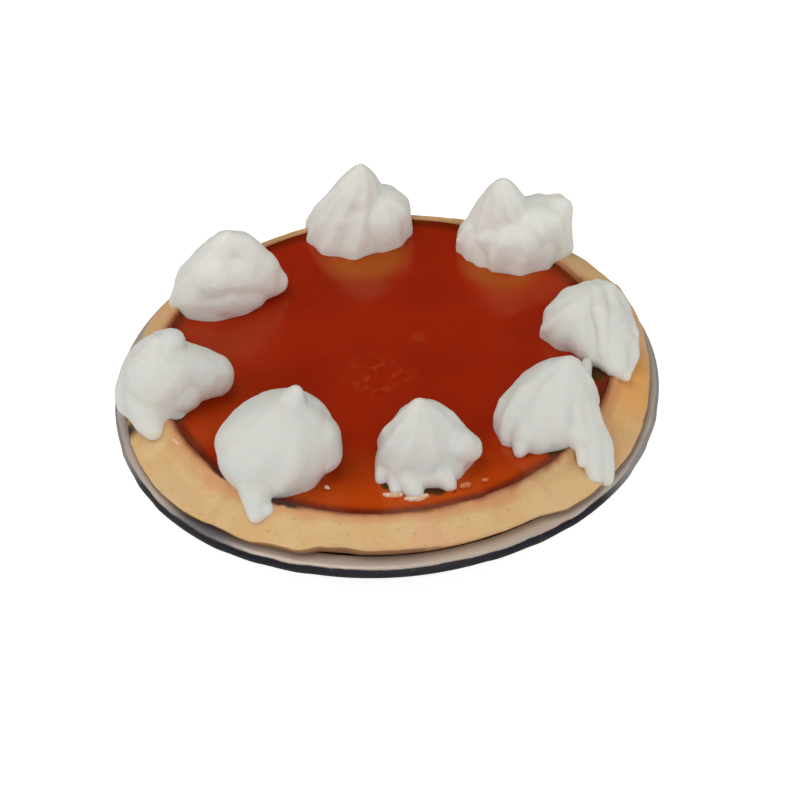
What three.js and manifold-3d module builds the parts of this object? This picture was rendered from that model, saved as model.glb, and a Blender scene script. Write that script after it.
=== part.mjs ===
// A round cream-topped pie in its own tin, in millimetres, +Z up.
// The origin is the middle of the tin's underside. A pastry shell lines the tin and stands above its
// flange as a broad sloping border, a smooth filling fills it nearly to the lip, and eight piped
// dollops of cream stand in a ring where the filling meets the border.
// Each piece is its own closed solid, and neighbours keep a hair's breadth of air between them.
import * as THREE from "three";
import { mergeVertices } from "three/addons/utils/BufferGeometryUtils.js";
import Module from "manifold-3d";

const wasm = await Module();
wasm.setup();

// Tin: pressed sheet metal with a flat flange and a rolled edge.
const RIM_RADIUS = 119.2;
const ROLL_RADIUS = 3.4;
const BASE_RADIUS = 90;
const MOUTH_RADIUS = 109.5;
const FLANGE_TOP = 28;
const SHEET = 0.8;
const BASE_CORNER = 4;

// Pastry shell: it lines the tin, lies on the flange and rises in a slope to its lip.
const GAP = 0.3;
const SHELL = 5;
const FOOT_RADIUS = 113.2;
const EDGE_RADIUS = 115.2;
const EDGE_HEIGHT = 33.4;
const LIP_RADIUS = 98.6;
const LIP_HEIGHT = 42.6;

// Filling: its top stands a little under the lip.
const FILLING_TOP = 41.6;
const FILLING_RADIUS = LIP_RADIUS - 0.9;

// Facets round the pie, and round and up each dollop.
const ROUND = 60;
const RIDGES = 8;
const DOLLOP_ROUND = RIDGES * 4;
const DOLLOP_RINGS = 7;

const radians = THREE.MathUtils.degToRad;

// Points on a round stretch of a profile, as [radius, height].
function arc(radius, height, r, fromDeg, toDeg, steps) {
  const points = [];
  for (let i = 0; i <= steps; i++) {
    const a = radians(fromDeg + ((toDeg - fromDeg) * i) / steps);
    points.push([radius + r * Math.cos(a), height + r * Math.sin(a)]);
  }
  return points;
}

// A profile of [radius, height] pairs spun about the Z axis.
function turned(profile, segments = ROUND) {
  const points = profile.map(([r, z]) => new THREE.Vector2(Math.max(r, 0), z));
  return new THREE.LatheGeometry(points, segments).rotateX(Math.PI / 2);
}

// Moves every vertex of a geometry by a function of its place.
function reshaped(geometry, move) {
  const position = geometry.getAttribute("position");
  const p = new THREE.Vector3();
  for (let i = 0; i < position.count; i++) {
    p.fromBufferAttribute(position, i);
    move(p);
    position.setXYZ(i, p.x, p.y, p.z);
  }
  return geometry;
}

function solidOf(geometry) {
  const bare = geometry.clone();
  for (const name of ["normal", "uv"]) bare.deleteAttribute(name);
  const merged = mergeVertices(bare, 1e-3);
  const corners = merged.index.array;
  const faces = [];
  for (let i = 0; i < corners.length; i += 3) {
    const [a, b, c] = corners.slice(i, i + 3);
    if (a !== b && b !== c && c !== a) faces.push(a, b, c);
  }
  return new wasm.Manifold(
    new wasm.Mesh({
      numProp: 3,
      vertProperties: merged.attributes.position.array,
      triVerts: new Uint32Array(faces),
    }),
  );
}

function geometryOf(solid) {
  const mesh = solid.getMesh();
  return new THREE.BufferGeometry()
    .setAttribute("position", new THREE.BufferAttribute(mesh.vertProperties, 3))
    .setIndex(new THREE.BufferAttribute(mesh.triVerts, 1));
}

function piece(name, geometry, material) {
  const mesh = new THREE.Mesh(geometry, material);
  mesh.name = name;
  return mesh;
}

const smooth = (x) => THREE.MathUtils.smoothstep(x, 0, 1);
const bell = (x, middle, width) => Math.exp(-(((x - middle) / width) ** 2));
const turnBetween = (a, b) => Math.abs(((a - b + 540) % 360) - 180);

// The hand-pressed border is uneven: [heading in degrees, amount in mm, spread in degrees].
const LIP_SHIFTS = [
  [205, -1.6, 10],
  [272, -0.9, 12],
  [310, 2.2, 12],
];
const EDGE_SHIFTS = [
  [96, -2, 45],
  [158, -1.2, 20],
  [218, 2, 22],
  [274, -4, 20],
  [322, 2.6, 14],
];
const EDGE_DROPS = [
  [98, 1.9, 48],
  [215, 2, 24],
  [322, 2, 28],
];
const LIP_REACH = 11;
const EDGE_REACH = 8;

function amountAt(list, heading) {
  return list.reduce((sum, [at, by, spread]) => sum + by * bell(turnBetween(heading, at), 0, spread), 0);
}

// The unevenness as a movement of space, so that filling, pastry and cream all follow it together.
function handmade(p) {
  const radius = Math.hypot(p.x, p.y);
  const heading = (THREE.MathUtils.radToDeg(Math.atan2(p.y, p.x)) + 360) % 360;
  const high = smooth((p.z - FLANGE_TOP - GAP) / (EDGE_HEIGHT - FLANGE_TOP - GAP));
  const outwards =
    amountAt(LIP_SHIFTS, heading) * bell(radius, LIP_RADIUS, LIP_REACH) +
    amountAt(EDGE_SHIFTS, heading) * bell(radius, EDGE_RADIUS, EDGE_REACH);
  const drop = amountAt(EDGE_DROPS, heading) * smooth((radius - LIP_RADIUS - 2) / EDGE_REACH);
  const turn = radians(heading);
  const wave = 0.4 * Math.sin(2 * turn + 1) + 0.3 * Math.sin(5 * turn + 2.2);
  const scale = radius > 1 ? 1 + (high * outwards) / radius : 1;
  p.x *= scale;
  p.y *= scale;
  p.z += high * (wave * bell(radius, LIP_RADIUS, 2 * LIP_REACH) - drop);
}

// --- Tin ---

const rollMiddle = RIM_RADIUS - ROLL_RADIUS;

// The rim is a little out of round: [heading in degrees, amount in mm, spread in degrees].
const RIM_SHIFTS = [
  [222, 1.8, 18],
  [318, 1.9, 18],
];
const RIM_REACH = 8;

function outOfRound(p) {
  const radius = Math.hypot(p.x, p.y);
  const heading = (THREE.MathUtils.radToDeg(Math.atan2(p.y, p.x)) + 360) % 360;
  const outer = smooth((radius - RIM_RADIUS + RIM_REACH + 4) / RIM_REACH);
  const scale = radius > 1 ? 1 + (outer * amountAt(RIM_SHIFTS, heading)) / radius : 1;
  p.x *= scale;
  p.y *= scale;
}

function tinGeometry() {
  const wallAngle = Math.atan2(FLANGE_TOP - SHEET, MOUTH_RADIUS - BASE_RADIUS);
  const sideways = SHEET / Math.sin(wallAngle);
  const corner = BASE_CORNER * Math.tan(wallAngle / 2);
  const bend = THREE.MathUtils.radToDeg(wallAngle) - 90;
  const section = [
    [0, 0],
    ...arc(BASE_RADIUS - corner, BASE_CORNER, BASE_CORNER, -90, bend, 2),
    [MOUTH_RADIUS, FLANGE_TOP - SHEET],
    ...arc(rollMiddle, FLANGE_TOP - ROLL_RADIUS, ROLL_RADIUS, -227, 90, 7),
    [MOUTH_RADIUS - sideways / 2, FLANGE_TOP],
    ...arc(BASE_RADIUS - corner, BASE_CORNER, BASE_CORNER - SHEET, bend, -90, 2),
    [0, SHEET],
  ];
  return reshaped(turned(section), outOfRound);
}

// --- Pastry shell ---

// The border's upper side, from the lip outwards to the edge that overhangs the flange.
function borderTop() {
  const crown = [
    [LIP_RADIUS + 0.2, LIP_HEIGHT - 0.2],
    [LIP_RADIUS + 1.4, LIP_HEIGHT],
  ];
  const slope = new THREE.QuadraticBezierCurve(
    new THREE.Vector2(LIP_RADIUS + 3.5, LIP_HEIGHT - 0.4),
    new THREE.Vector2(EDGE_RADIUS - 5, LIP_HEIGHT - 4),
    new THREE.Vector2(EDGE_RADIUS - 0.7, EDGE_HEIGHT + 1.4),
  );
  return [...crown, ...slope.getPoints(3).map((p) => [p.x, p.y])];
}

// Its underside, from the edge back under to the foot on the flange.
function borderEdge() {
  return [
    [EDGE_RADIUS, EDGE_HEIGHT],
    [EDGE_RADIUS - 0.2, (EDGE_HEIGHT + FLANGE_TOP) / 2],
    [FOOT_RADIUS, FLANGE_TOP + GAP],
  ];
}

function pastryGeometry() {
  const floor = SHEET + GAP;
  const wallFoot = BASE_RADIUS - BASE_CORNER;
  return reshaped(
    turned([
      [0, floor],
      [wallFoot - 0.5, floor],
      [wallFoot + 2, floor + 1.4],
      [MOUTH_RADIUS - 1, FLANGE_TOP + GAP],
      ...borderEdge().reverse(),
      ...borderTop().reverse(),
      [LIP_RADIUS - 0.4, FILLING_TOP - 1],
      [LIP_RADIUS - 3, FILLING_TOP - 9],
      [wallFoot - SHELL + 1, floor + SHELL],
      [0, floor + SHELL],
    ]),
    handmade,
  );
}

// --- Filling ---

// Its top sinks slightly towards the middle and turns up against the lip.
const FILLING_SINK = 0.8;

function fillingTop() {
  return [
    [0, FILLING_TOP - FILLING_SINK],
    [FILLING_RADIUS * 0.55, FILLING_TOP - FILLING_SINK * 0.7],
    [FILLING_RADIUS - 6, FILLING_TOP - 0.2],
    [FILLING_RADIUS - 0.4, FILLING_TOP + 0.2],
  ];
}

function fillingGeometry() {
  const floor = SHEET + GAP + SHELL + GAP;
  const wallFoot = BASE_RADIUS - BASE_CORNER - SHELL + 1;
  return reshaped(
    turned([
      [0, floor],
      [wallFoot - 1.4 * GAP, floor],
      [LIP_RADIUS - 3 - 1.4 * GAP, FILLING_TOP - 9],
      [LIP_RADIUS - 0.4 - 1.4 * GAP, FILLING_TOP - 1],
      ...fillingTop().reverse(),
    ]),
    handmade,
  );
}

// --- Cream ---

// Each dollop: the heading round the pie and distance from its middle, the foot's half length and half
// width with the way the length runs, the height, how square its shoulders are and how sharp its peak,
// the way the peak leans, and the pulls that drew out its tails and lobes.
const DOLLOPS = [
  {
    name: "cream_1", heading: 95, distance: 92, length: 22.5, width: 19, along: 0, height: 37.5,
    fullness: 1.9, point: 1.0, tuck: 0, lean: [6, 0], twist: 25,
    pulls: [{ heading: 340, level: 0.3, reach: 3, narrow: 2 }],
  },
  {
    name: "cream_2", heading: 50, distance: 95.5, length: 23.5, width: 18.5, along: 0, height: 38.4,
    fullness: 1.9, point: 1.1, tuck: 0, lean: [-5, 0], twist: -20,
    pulls: [{ heading: 5, level: 0.65, reach: 13, narrow: 1 }],
  },
  {
    name: "cream_3", heading: 8, distance: 92, length: 22, width: 19, along: 0, height: 22.5,
    fullness: 2.2, point: 0.7, tuck: 0, lean: [3, 0], twist: 30,
    pulls: [{ heading: 295, level: 0, reach: 15, narrow: 8 }],
  },
  {
    name: "cream_4", heading: 326, distance: 83, length: 24.5, width: 21, along: 30, height: 34,
    fullness: 1.9, point: 0.9, tuck: 0, lean: [10, 4], twist: -25,
    pulls: [{ heading: 298, level: 0, reach: 16, narrow: 9 }],
  },
  {
    name: "cream_5", heading: 283, distance: 69, length: 23, width: 19, along: 0, height: 35,
    fullness: 1.9, point: 0.9, tuck: 0, lean: [-1, 0], twist: 25,
    pulls: [],
  },
  {
    name: "cream_6", heading: 234, distance: 79, length: 28.5, width: 25.5, along: 0, height: 41.4,
    fullness: 2.4, point: 0.6, tuck: 0.25, lean: [3, 0], twist: 20,
    pulls: [{ heading: 250, level: 0, reach: 14, narrow: 9 }],
  },
  {
    name: "cream_7", heading: 189, distance: 99, length: 18.5, width: 18, along: 0, height: 36,
    fullness: 2.0, point: 0.75, tuck: 0, lean: [2, 2], twist: -20,
    pulls: [{ heading: 14, level: 0.2, reach: 18, narrow: 9 }],
  },
  {
    name: "cream_8", heading: 142.5, distance: 90.5, length: 21.5, width: 19, along: 0, height: 34,
    fullness: 2.0, point: 0.8, tuck: 0, lean: [5, 0], twist: 25,
    pulls: [{ heading: 3, level: 0.2, reach: 12, narrow: 9 }],
  },
];
const RIDGE_DEPTH = 0.05;
const SKIRT = 8;

// A dollop's half breadth, as a share of its foot, at a share of its height.
function swell(share, d) {
  return (1 - share ** d.fullness) ** d.point * (1 - d.tuck * (1 - share) ** 3);
}

function dollopGeometry(d) {
  const profile = [[0, -SKIRT]];
  for (let i = 0; i < DOLLOP_RINGS; i++) {
    const share = Math.sin((i / DOLLOP_RINGS) * (Math.PI / 2));
    if (i === 0) profile.push([swell(0, d), -SKIRT]);
    profile.push([swell(share, d), share * d.height]);
  }
  profile.push([0, d.height]);
  const along = radians(d.along);
  return reshaped(turned(profile, DOLLOP_ROUND), (p) => {
    const share = THREE.MathUtils.clamp(p.z / d.height, 0, 1);
    const angle = Math.atan2(p.y, p.x);
    const breadth = Math.hypot(p.x, p.y);
    const ridge = 1 + RIDGE_DEPTH * Math.cos(RIDGES * (angle - radians(d.twist) * share));
    const x = d.length * breadth * ridge * Math.cos(angle - along);
    const y = d.width * breadth * ridge * Math.sin(angle - along);
    p.x = x * Math.cos(along) - y * Math.sin(along) + d.lean[0] * share ** 2;
    p.y = x * Math.sin(along) + y * Math.cos(along) + d.lean[1] * share ** 2;
    for (const pull of d.pulls) {
      const toward = radians(pull.heading);
      const faces = Math.max(Math.cos(angle - toward), 0) ** pull.narrow;
      const drawn = pull.reach * faces * bell(share, pull.level, 0.3) * smooth(breadth * 2);
      p.x += drawn * Math.cos(toward);
      p.y += drawn * Math.sin(toward);
    }
  });
}

// Everything under the cream, grown by the gap: what a dollop's foot is cut to.
function seatSolid() {
  const raised = [...fillingTop(), ...borderTop()].map(([r, z]) => [r, z + GAP]);
  return solidOf(
    reshaped(
      turned([
        [0, 0],
        [RIM_RADIUS + 2, 0],
        [RIM_RADIUS + 2, FLANGE_TOP + ROLL_RADIUS],
        [EDGE_RADIUS + 2 * GAP, FLANGE_TOP + ROLL_RADIUS + GAP],
        [EDGE_RADIUS + 2 * GAP, EDGE_HEIGHT + GAP],
        ...raised.reverse(),
      ]),
      handmade,
    ),
  );
}

function dollopPlace(d) {
  const heading = radians(d.heading);
  return new THREE.Vector3(d.distance * Math.cos(heading), d.distance * Math.sin(heading), FILLING_TOP);
}

function dollopMesh(d, taken, material) {
  const place = dollopPlace(d);
  const whole = solidOf(dollopGeometry(d).translate(...place.toArray()));
  const seated = whole.subtract(taken);
  const mesh = piece(d.name, geometryOf(seated).translate(-place.x, -place.y, -place.z), material);
  mesh.position.copy(place);
  return mesh;
}

// --- The pie ---

const metal = new THREE.MeshStandardMaterial({ color: 0xa8a6a4, roughness: 0.35, metalness: 1 });
const pastry = new THREE.MeshStandardMaterial({ color: 0xd1ab7e, roughness: 0.8, metalness: 0 });
const custard = new THREE.MeshStandardMaterial({ color: 0x8c2204, roughness: 0.15, metalness: 0 });
const cream = new THREE.MeshStandardMaterial({ color: 0xe6e2d8, roughness: 0.6, metalness: 0 });

const pie = new THREE.Group();
pie.add(piece("tin", tinGeometry(), metal));
pie.add(piece("pastry", pastryGeometry(), pastry));
pie.add(piece("filling", fillingGeometry(), custard));
const seat = seatSolid();
for (const dollop of DOLLOPS) pie.add(dollopMesh(dollop, seat, cream));

export default pie;
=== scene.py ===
# %% [markdown]
# # A cream pie in its own tin
#
# This lesson dresses a ready-made set of solids, the frame, with everything the eye enjoys: a rolled
# tin, a smooth shortcrust border, a glossy set custard and eight dollops of whipped cream. The frame
# fixes where each piece is and how large it may be. Every new piece rides on it, and takes the place
# of one of its plain solids. Blender works in metres with +Z up. Sizes below are in millimetres, so
# that a baker can read them, and are turned into metres by MM.

# %% Frame
import math

import bpy
from mathutils import Matrix, Vector


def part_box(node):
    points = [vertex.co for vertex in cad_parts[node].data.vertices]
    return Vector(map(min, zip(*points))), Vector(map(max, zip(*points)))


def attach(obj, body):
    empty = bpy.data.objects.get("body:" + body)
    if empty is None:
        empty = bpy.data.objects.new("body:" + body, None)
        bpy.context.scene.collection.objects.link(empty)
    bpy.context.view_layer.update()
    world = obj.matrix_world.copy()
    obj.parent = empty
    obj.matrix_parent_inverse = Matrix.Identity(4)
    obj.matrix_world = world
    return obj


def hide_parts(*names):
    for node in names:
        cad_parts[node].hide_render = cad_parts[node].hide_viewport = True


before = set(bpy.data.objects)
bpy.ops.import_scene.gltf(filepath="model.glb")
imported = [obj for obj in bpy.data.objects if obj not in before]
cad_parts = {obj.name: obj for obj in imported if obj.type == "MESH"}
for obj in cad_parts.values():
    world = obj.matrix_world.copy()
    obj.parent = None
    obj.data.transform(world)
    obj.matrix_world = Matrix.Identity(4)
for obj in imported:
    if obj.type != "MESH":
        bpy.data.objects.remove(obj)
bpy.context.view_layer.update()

MM = 0.001
print("nodes:", ", ".join(sorted(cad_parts)))

# %% [markdown]
# ## Camera
#
# A pie is best seen from the height of someone about to cut it, some forty degrees above the table.
# A long lens from two metres away keeps the rim's ellipse even, as in a catalogue picture. The camera
# is turned a little about its own axis, as a hand-held one is.

# %% Camera
CAMERA_ELEVATION = math.radians(40.7)
CAMERA_ROLL = math.radians(-3.96)
CAMERA_DISTANCE = 2.0
CAMERA_LENS = 205.9
AIM = Vector((0, 0, 27.5 * MM))
AIM_RIGHT = 6.05 * MM
AIM_DOWN = 6.3 * MM

tilt = Matrix.Rotation(math.pi / 2 - CAMERA_ELEVATION, 3, "X")
turn = tilt @ Matrix.Rotation(CAMERA_ROLL, 3, "Z")
aim = AIM + turn @ Vector((AIM_RIGHT, -AIM_DOWN, 0))
stand = aim + turn @ Vector((0, 0, CAMERA_DISTANCE))
bpy.ops.object.camera_add(location=stand, rotation=turn.to_euler())
camera = bpy.context.object
camera.data.lens = CAMERA_LENS
bpy.context.scene.camera = camera
print("camera at", [round(c, 2) for c in camera.location])

# %% [markdown]
# ## Floor and light
#
# The floor is a plain pale sheet. It glows for the camera, told by the Light Path node, and hardly at
# all for the pie, so that it looks white and yet doesn't light the pie from below. One soft box stands
# above and to the left, a large one stands far off in front, and two weak ones stand at the sides, so
# cream keeps its roundness without hard shadows. The sky is nearly dark and nothing bright stands
# behind the pie, because a glossy custard mirrors what is behind it, and a bright wall there would wash
# its colour out.

# %% Floor
scene = bpy.context.scene
scene.view_settings.view_transform = "Standard"
scene.view_settings.look = "None"


def plain_material(name, color, roughness):
    """A material whose Principled shader has one colour and roughness to start from."""
    material = bpy.data.materials.new(name)
    material.use_nodes = True
    shader = material.node_tree.nodes["Principled BSDF"]
    shader.inputs["Base Color"].default_value = (*color, 1)
    shader.inputs["Roughness"].default_value = roughness
    return material


FLOOR_SIZE = 6
FLOOR_GREY = (0.88, 0.88, 0.88)
GLOW_FOR_CAMERA = 0.8
GLOW_FOR_PIE = 0.05

bpy.ops.mesh.primitive_plane_add(size=FLOOR_SIZE, location=(0, 0, 0))
floor = bpy.context.object
floor.name = "floor"
floor_material = plain_material("pale_floor", FLOOR_GREY, 0.7)
floor_tree = floor_material.node_tree
floor_shader = floor_tree.nodes["Principled BSDF"]
floor_shader.inputs["Emission Color"].default_value = (1, 1, 1, 1)
seen = floor_tree.nodes.new("ShaderNodeLightPath").outputs["Is Camera Ray"]
glow = floor_tree.nodes.new("ShaderNodeMapRange")
glow.inputs["To Min"].default_value = GLOW_FOR_PIE
glow.inputs["To Max"].default_value = GLOW_FOR_CAMERA
floor_tree.links.new(seen, glow.inputs["Value"])
floor_tree.links.new(glow.outputs["Result"], floor_shader.inputs["Emission Strength"])
floor.data.materials.append(floor_material)
print("floor:", FLOOR_SIZE, "m wide")

# %% [markdown]
# The sky's faint light is warm, because it only fills the shade, and shade on food looks best warm.
# Every lamp is a square that faces the pie, and its distances are in metres.

# %% Sky and lamps
SKY_COLOR = (1.0, 0.93, 0.85, 1)
SKY_STRENGTH = 0.16
KEY_COLOR = (1.0, 0.97, 0.92)
FILL_COLOR = (1.0, 0.985, 0.96)
LEFT_COLOR = (1.0, 0.98, 0.96)

sky = bpy.data.worlds.new("sky")
sky.use_nodes = True
sky.node_tree.nodes["Background"].inputs["Color"].default_value = SKY_COLOR
sky.node_tree.nodes["Background"].inputs["Strength"].default_value = SKY_STRENGTH
scene.world = sky


def soft_box(name, place, size, power, color):
    """A square lamp that faces the pie."""
    facing = (Vector(place) - AIM).to_track_quat("Z", "Y").to_euler()
    bpy.ops.object.light_add(type="AREA", location=place, rotation=facing)
    lamp = bpy.context.object
    lamp.name = name
    lamp.data.size = size
    lamp.data.energy = power
    lamp.data.color = color
    return lamp


lamps = [
    soft_box("key_light", (-0.45, 0.15, 1.7), size=1.3, power=11.7, color=KEY_COLOR),
    soft_box("front_fill", (0.4, -6.4, 3.0), size=6.0, power=222, color=FILL_COLOR),
    soft_box("right_fill", (1.6, 0.1, 0.8), size=1.2, power=6.5, color=FILL_COLOR),
    soft_box("left_fill", (-1.6, -0.1, 0.8), size=1.2, power=5.5, color=LEFT_COLOR),
]
print("lamps:", {lamp.name: lamp.data.energy for lamp in lamps})

# %% [markdown]
# ## Working as by hand
#
# Edit-mode tools act on whatever is selected, so every step starts from nothing selected and then
# picks points by where they are. These few helpers do that, and apply one modifier at a time.

# %% Selection and modifier helpers


def only(obj):
    """Makes obj the one selected and active object."""
    if bpy.context.mode != "OBJECT":
        bpy.ops.object.mode_set(mode="OBJECT")
    bpy.ops.object.select_all(action="DESELECT")
    obj.select_set(True)
    bpy.context.view_layer.objects.active = obj


def pick(obj, test):
    """Selects the points of obj whose place passes a test, and stays in edit mode."""
    only(obj)
    bpy.ops.object.mode_set(mode="EDIT")
    bpy.ops.mesh.select_all(action="DESELECT")
    bpy.ops.object.mode_set(mode="OBJECT")
    mesh = obj.data
    chosen = [bool(test(v.co)) for v in mesh.vertices]
    mesh.vertices.foreach_set("select", chosen)
    bpy.ops.object.mode_set(mode="EDIT")
    return sum(chosen)


def mark_group(obj, name, test):
    """Makes a vertex group of the points of obj whose place passes a test."""
    pick(obj, test)
    bpy.ops.object.mode_set(mode="OBJECT")
    group = obj.vertex_groups.new(name=name)
    group.add([v.index for v in obj.data.vertices if v.select], 1.0, "REPLACE")


def finish_with(obj, kind, **settings):
    """Adds one modifier, sets it and applies it."""
    only(obj)
    modifier = obj.modifiers.new(kind.lower(), kind)
    for key, value in settings.items():
        setattr(modifier, key, value)
    bpy.ops.object.modifier_apply(modifier=modifier.name)


def cloud_relief(name, size, depth=2):
    """A soft random relief for the Displace modifier, size in millimetres."""
    texture = bpy.data.textures.new(name, "CLOUDS")
    texture.noise_scale = size * MM
    texture.noise_depth = depth
    return texture


def displace(obj, texture, depth, direction="NORMAL", group=""):
    """Lifts and sinks the surface by a relief, depth in millimetres from lowest to highest."""
    finish_with(
        obj, "DISPLACE", texture=texture, texture_coords="LOCAL", direction=direction,
        strength=depth * MM, mid_level=0.5, vertex_group=group,
    )


# %% [markdown]
# ## The turned pieces
#
# Tin, pastry and filling are all round, so each starts as half a section: a line of points from the
# middle out and back. Spinning that line once about the upright axis makes the whole piece, the way a
# potter's wheel does.

# %% Spinning a section


def spun_piece(name, section, steps):
    """A closed piece from (radius, height) points in millimetres that start and end on the axis."""
    start_r, start_z = section[0]
    bpy.ops.mesh.primitive_plane_add(size=MM, location=(0, 0, 0))
    obj = bpy.context.object
    obj.name = name
    bpy.ops.object.mode_set(mode="EDIT")
    bpy.ops.mesh.merge(type="CENTER")
    bpy.ops.transform.translate(value=(start_r * MM, 0, start_z * MM))
    for (r0, z0), (r1, z1) in zip(section, section[1:]):
        step = ((r1 - r0) * MM, 0, (z1 - z0) * MM)
        bpy.ops.mesh.extrude_vertices_move(TRANSFORM_OT_translate={"value": step})
    bpy.ops.mesh.select_all(action="SELECT")
    bpy.ops.mesh.spin(steps=steps, angle=2 * math.pi, center=(0, 0, 0), axis=(0, 0, 1))
    bpy.ops.mesh.select_all(action="SELECT")
    bpy.ops.mesh.remove_doubles(threshold=1e-6)
    bpy.ops.mesh.normals_make_consistent(inside=False)
    bpy.ops.object.mode_set(mode="OBJECT")
    return obj


def arc(radius, height, r, from_deg, to_deg, steps):
    """Points on a round stretch of a section."""
    angles = [math.radians(from_deg + (to_deg - from_deg) * i / steps) for i in range(steps + 1)]
    return [(radius + r * math.cos(a), height + r * math.sin(a)) for a in angles]


def curve(start, bend, end, steps):
    """Points on a smooth curve from start to end that is drawn towards bend."""
    shares = [i / steps for i in range(steps + 1)]
    weights = [((1 - t) ** 2, 2 * t * (1 - t), t * t) for t in shares]
    return [tuple(a * p + b * q + c * r for p, q, r in zip(start, bend, end)) for a, b, c in weights]


# %% [markdown]
# ## Tin
#
# A pie tin is pressed from thin sheet: a flat base, a sloping wall, and a narrow flange whose outer
# edge is rolled into a thick bead, so that it is stiff and has no sharp edge. The bead is drawn as
# most of a circle in the section.

# %% Tin
RIM_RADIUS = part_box("tin")[1].x / MM
FLANGE_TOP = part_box("tin")[1].z / MM
BEAD = 3.1
MOUTH = 109.5
BASE = 90.0
CORNER = 4
WALL_TURN = -36
SHEET = 0.8

tin = spun_piece(
    "pie_tin",
    [
        (0, 0),
        *arc(BASE - 2, CORNER, CORNER, -90, WALL_TURN, 6),
        (MOUTH - 0.6, FLANGE_TOP - 1.8),
        (MOUTH + 0.6, FLANGE_TOP - 0.9),
        *arc(RIM_RADIUS - BEAD - 0.15, FLANGE_TOP - BEAD, BEAD, -227, 88, 30),
        (MOUTH + 1.2, FLANGE_TOP - 0.05),
        (MOUTH - 0.1, FLANGE_TOP - 0.6),
        *arc(BASE - 2, CORNER, CORNER - SHEET, WALL_TURN, -90, 6),
        (0, SHEET),
    ],
    steps=256,
)
mark_group(tin, "rim", lambda p: p.z > (FLANGE_TOP - 8) * MM)
displace(tin, cloud_relief("rim_wobble", 40, 1), 0.25, group="rim")
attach(tin, "root")
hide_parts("tin")
print("tin:", len(tin.data.polygons), "faces")

# %% [markdown]
# ## Pastry border
#
# The border is a plain band of shortcrust that was trimmed, not crimped. It is highest at its inner lip
# and slopes outwards to a rounded edge, which overhangs the flange and keeps its own underside in
# shade. Below, it lines the tin. The section has long stretches where the pastry is hidden, and short
# ones where it shows.

# %% Pastry section
LIP_RADIUS = 98.6
EDGE_RADIUS = 115.2
EDGE_HEIGHT = 33.4
FOOT_RADIUS = 113.2
FILLING_TOP = 41.6
GAP = 0.3
FLOOR = SHEET + GAP
SHELL = 5.0
HALFWAY = 60

pastry = spun_piece(
    "pastry_shell",
    [
        (0, FLOOR),
        (HALFWAY, FLOOR),
        (BASE - 4.5, FLOOR),
        (BASE - 2, FLOOR + 1.4),
        (MOUTH - 1, FLANGE_TOP + GAP),
        (FOOT_RADIUS - 2.4, FLANGE_TOP + GAP),
        (FOOT_RADIUS - 0.8, FLANGE_TOP + GAP + 0.1),
        (FOOT_RADIUS - 0.1, FLANGE_TOP + GAP + 0.8),
        *curve((FOOT_RADIUS + 0.2, 30), (EDGE_RADIUS + 0.3, 31.4), (EDGE_RADIUS, EDGE_HEIGHT), 6),
        *curve((EDGE_RADIUS - 0.5, EDGE_HEIGHT + 1), (110.2, 38.6), (LIP_RADIUS + 3.5, 42.2), 16),
        *curve((LIP_RADIUS + 2.6, 42.45), (LIP_RADIUS + 0.3, 42.95), (LIP_RADIUS - 0.1, FILLING_TOP), 6),
        (LIP_RADIUS - 0.8, FILLING_TOP - 2.5),
        (LIP_RADIUS - 3, FILLING_TOP - 9),
        (BASE - 4, FLOOR + SHELL),
        (HALFWAY, FLOOR + SHELL),
        (0, FLOOR + SHELL),
    ],
    steps=420,
)
print("pastry:", len(pastry.data.polygons), "faces")

# %% [markdown]
# ## Filling
#
# The custard was poured in, and it set with a skin: flat in the middle, drawn up slightly where it
# clings to the pastry. Its rings are close together, because the skin's low waves must bend the
# mirror image of the cream.

# %% Filling section
SKIN_RADIUS = 94

filling = spun_piece(
    "custard_filling",
    [
        (0, FLOOR + SHELL + GAP),
        (HALFWAY, FLOOR + SHELL + GAP),
        (BASE - 4.4, FLOOR + SHELL + GAP),
        (LIP_RADIUS - 3.2, FILLING_TOP - 9),
        (LIP_RADIUS - 0.9, FILLING_TOP - 2.5),
        (LIP_RADIUS - 0.1, FILLING_TOP - 0.5),
        (LIP_RADIUS - 0.3, FILLING_TOP + 0.05),
        (LIP_RADIUS - 1.0, FILLING_TOP - 0.1),
        (LIP_RADIUS - 1.9, FILLING_TOP - 0.33),
        (LIP_RADIUS - 3.2, FILLING_TOP - 0.46),
        *[
            (r, FILLING_TOP - 0.5 - 0.3 * (1 - (r / SKIN_RADIUS) ** 2))
            for r in range(SKIN_RADIUS, 1, -2)
        ],
        (0, FILLING_TOP - 0.8),
    ],
    steps=300,
)
print("filling:", len(filling.data.polygons), "faces")

# %% [markdown]
# The hand that laid the pastry left its border wider here and lower there. Those places are picked by
# their heading, in degrees, and eased in or out with proportional editing, in three goes over a
# narrowing stretch, which rounds off the ends.

# %% Easing a stretch of a ring
REACH = 13
SOFT_PULL = {"use_proportional_edit": True, "proportional_edit_falloff": "SMOOTH"}


def heading_of(p):
    """The heading of a place, in degrees from +X towards +Y."""
    return math.degrees(math.atan2(p.y, p.x)) % 360


def apart(a, b):
    """The angle between two headings."""
    return abs((a - b + 180) % 360 - 180)


def ease(obj, heading, spread, inner, outer, change, lowest=30, reach=REACH):
    """Changes one stretch of a ring in three goes. change is given the pulling tool's settings."""
    for share in (1.5, 1.0, 0.5):
        found = pick(
            obj,
            lambda p: p.z > lowest * MM
            and inner * MM < math.hypot(p.x, p.y) < outer * MM
            and apart(heading_of(p), heading) < spread * share,
        )
        if found:
            change({**SOFT_PULL, "proportional_size": reach * MM})
    only(obj)


def outwards(amount, middle):
    """A change that grows a ring of that radius by a third of an amount in millimetres."""
    grow = 1 + amount / 3 / middle
    size = (grow, grow, 1)
    return lambda soft: bpy.ops.transform.resize(value=size, center_override=(0, 0, 0), **soft)


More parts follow.
